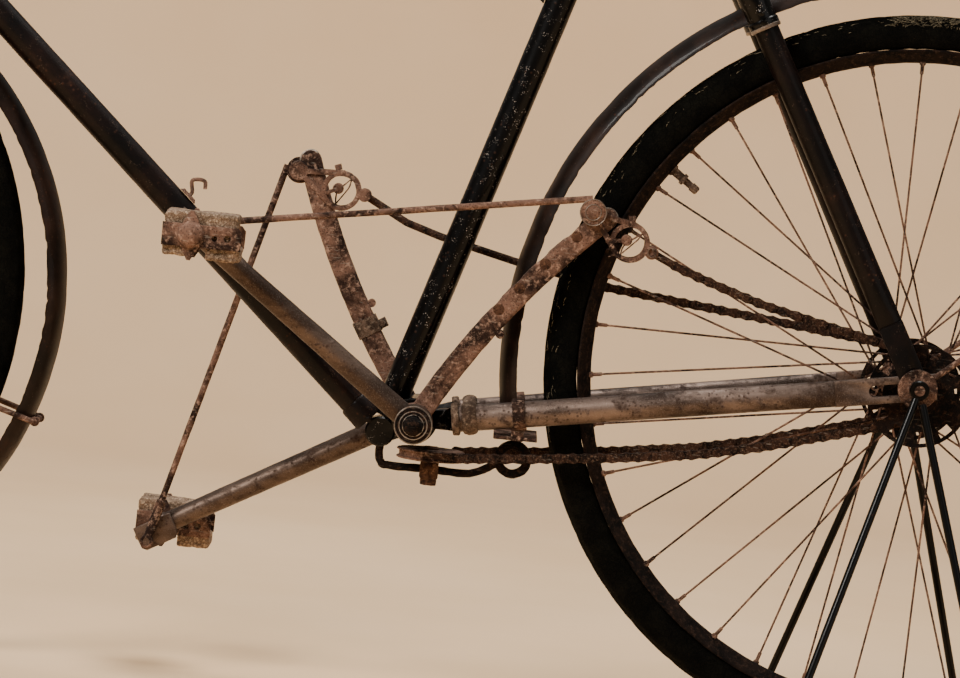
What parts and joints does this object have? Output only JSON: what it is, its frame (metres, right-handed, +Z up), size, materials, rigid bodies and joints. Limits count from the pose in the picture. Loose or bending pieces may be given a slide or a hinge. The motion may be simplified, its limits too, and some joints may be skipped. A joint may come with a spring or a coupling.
{
  "type": "lever-drive safety bicycle",
  "caption": "Rusty Victorian bicycle driven by swinging levers and chains instead of cranks, held by its rear axle in a black rod display stand.",
  "frame": {"origin": "on the floor under the middle of the bounding box, in the bicycle's middle plane", "axes": "+X to the rear along the length, +Y to the rider's right, +Z up"},
  "size_m": [1.9306, 0.5394, 1.0409],
  "materials": {
    "painted": "aged glossy black enamel, speckled and rusting at the lugs",
    "rust_painted": "dark brown-black enamel with rust coming through",
    "rusty_steel": "heavily rusted steel, rough and flaking",
    "worn_steel": "worn grey-brown steel with rust",
    "tyre": "cracked black-green rubber",
    "old_rubber": "perished tan pad rubber on rusty plates",
    "saddle_leather": "dry dark brown leather",
    "grip_cork": "dark turned wood grips"
  },
  "bodies": {
    "frame": {"seat_tube": "painted", "head_tube": "painted", "top_tube": "painted", "seatstay_crown": "painted", "stand_leg_front_left": "painted", "stand_leg_front_right": "painted", "stand_leg_rear_left": "painted", "stand_leg_rear_right": "painted", "stand_base": "painted", "seat_tube_gusset": "painted", "down_tube": "rust_painted", "pivot_bracket": "rust_painted", "chainstay_left": "rust_painted", "chainstay_right": "rust_painted", "seatstay_left": "rust_painted", "seatstay_right": "rust_painted", "rear_mudguard": "rust_painted", "rear_mudguard_stay": "rust_painted", "rear_axle": "rusty_steel", "drum_left": "rusty_steel", "drum_right": "rusty_steel", "lever_axle": "rusty_steel", "lever_arm_left": "rusty_steel", "lever_arm_right": "rusty_steel", "chain_link_left": "rusty_steel", "chain_link_right": "rusty_steel", "chain_left": "rusty_steel", "chain_right": "rusty_steel", "return_pulley": "rusty_steel", "pulley_rod": "rusty_steel", "pulley_block": "rusty_steel", "pulley_hanger": "rusty_steel", "tube_hook": "rusty_steel", "saddle_frame": "rusty_steel", "tie_rod_left": "rusty_steel", "tie_rod_right": "rusty_steel", "lever_crank_left": "worn_steel", "lever_crank_right": "worn_steel", "seat_post": "worn_steel", "saddle_leather": "saddle_leather"},
    "steering": {"fork": "painted", "handlebar": "worn_steel", "grip_left": "grip_cork", "grip_right": "grip_cork", "front_axle": "rusty_steel", "front_mudguard": "rust_painted", "front_mudguard_stay": "rust_painted"},
    "front_wheel": {"front_tyre": "tyre", "front_rim": "rusty_steel", "front_hub": "rusty_steel"},
    "rear_wheel": {"rear_tyre": "tyre", "rear_rim": "rusty_steel", "rear_hub": "rusty_steel"},
    "left_pedal": {"pedal_left": "old_rubber"},
    "right_pedal": {"pedal_right": "old_rubber"}
  },
  "joints": [
    {"name": "steering_head", "type": "hinge", "parent": "frame", "child": "steering", "pos_m": [-0.56797, 0, 0.33961], "axis": [0.342, 0, 0.9397], "range_deg": [-45, 45]},
    {"name": "front_wheel_spin", "type": "hinge", "parent": "steering", "child": "front_wheel", "pos_m": [-0.61026, 0, 0.355], "axis": [0, 1, 0], "continuous": true},
    {"name": "rear_wheel_spin", "type": "hinge", "parent": "frame", "child": "rear_wheel", "pos_m": [0.60474, 0, 0.361], "axis": [0, 1, 0], "continuous": true},
    {"name": "left_pedal_spin", "type": "hinge", "parent": "frame", "child": "left_pedal", "pos_m": [-0.09068, -0.13, 0.44064], "axis": [0, 1, 0], "continuous": true},
    {"name": "right_pedal_spin", "type": "hinge", "parent": "frame", "child": "right_pedal", "pos_m": [-0.10708, 0.13, 0.14275], "axis": [0, 1, 0], "continuous": true}
  ]
}
